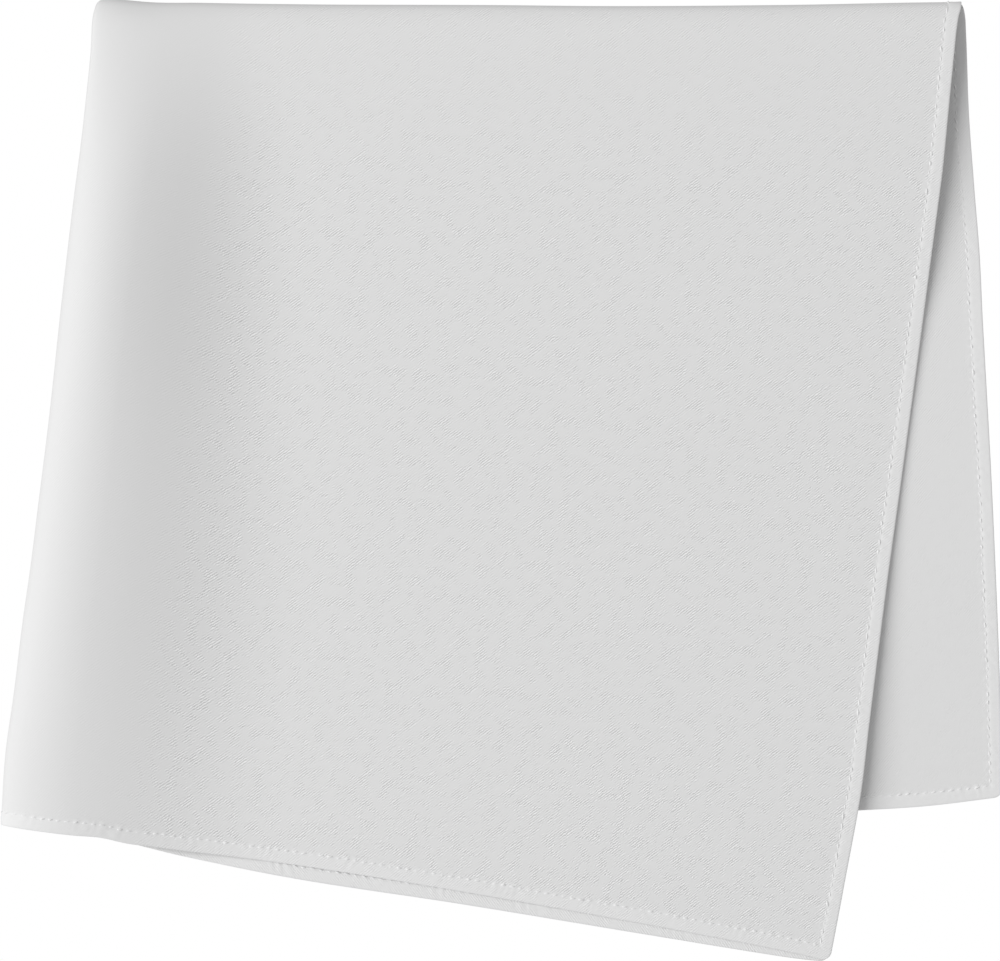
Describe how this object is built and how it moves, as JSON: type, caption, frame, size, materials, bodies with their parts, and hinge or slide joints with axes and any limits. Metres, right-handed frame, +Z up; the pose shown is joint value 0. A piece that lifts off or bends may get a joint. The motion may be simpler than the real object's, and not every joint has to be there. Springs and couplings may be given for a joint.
{
  "type": "folded bandana",
  "caption": "Hemmed square cloth in white satin-faced twill, folded in half with a soft side fold and hung over a thin bar.",
  "frame": {"origin": "middle of the top fold, on its underside, where the cloth rests on the bar that holds it", "axes": "+Z up, +X to the right seen from the front and along the top fold, +Y from the front flap to the back flap"},
  "size_m": [0.3215, 0.0335, 0.3085],
  "materials": {
    "twill": "soft satin",
    "thread": "satin thread"
  },
  "bodies": {
    "root": {"bandana": "twill"}
  },
  "joints": []
}
